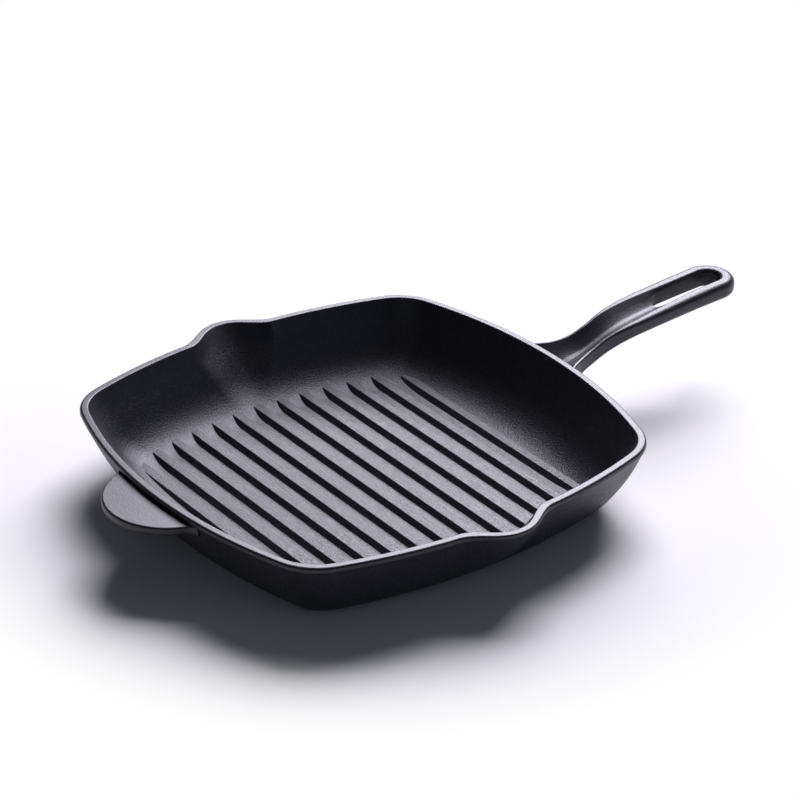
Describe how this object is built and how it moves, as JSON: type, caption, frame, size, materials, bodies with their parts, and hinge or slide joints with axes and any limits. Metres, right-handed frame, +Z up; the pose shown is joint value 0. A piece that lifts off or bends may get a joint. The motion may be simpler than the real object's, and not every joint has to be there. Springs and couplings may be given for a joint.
{
  "type": "grill pan",
  "caption": "Square cast-iron grill pan with raised searing ribs, a pouring lip on two sides, a helper tab and a long channelled handle with a hanging slot.",
  "frame": {"origin": "middle of the flat foot face on the pan's underside", "axes": "+X along the long handle towards its end, +Y towards the left pouring lip, +Z up"},
  "size_m": [0.4106, 0.2858, 0.0586],
  "materials": {
    "enamelled_iron": "satin black enamel over fine sand-cast grain"
  },
  "bodies": {
    "root": {"base_plate": "enamelled_iron", "handle_side_wall": "enamelled_iron", "helper_side_wall": "enamelled_iron", "handle_side_rim": "enamelled_iron", "helper_side_rim": "enamelled_iron", "pouring_lips": "enamelled_iron", "sear_rib_01": "enamelled_iron", "sear_rib_02": "enamelled_iron", "sear_rib_03": "enamelled_iron", "sear_rib_04": "enamelled_iron", "sear_rib_05": "enamelled_iron", "sear_rib_06": "enamelled_iron", "sear_rib_07": "enamelled_iron", "sear_rib_08": "enamelled_iron", "sear_rib_09": "enamelled_iron", "sear_rib_10": "enamelled_iron", "sear_rib_11": "enamelled_iron", "sear_rib_12": "enamelled_iron", "sear_rib_13": "enamelled_iron", "helper_tab": "enamelled_iron", "handle_neck": "enamelled_iron", "handle_grip": "enamelled_iron", "hanging_loop": "enamelled_iron"}
  },
  "joints": []
}
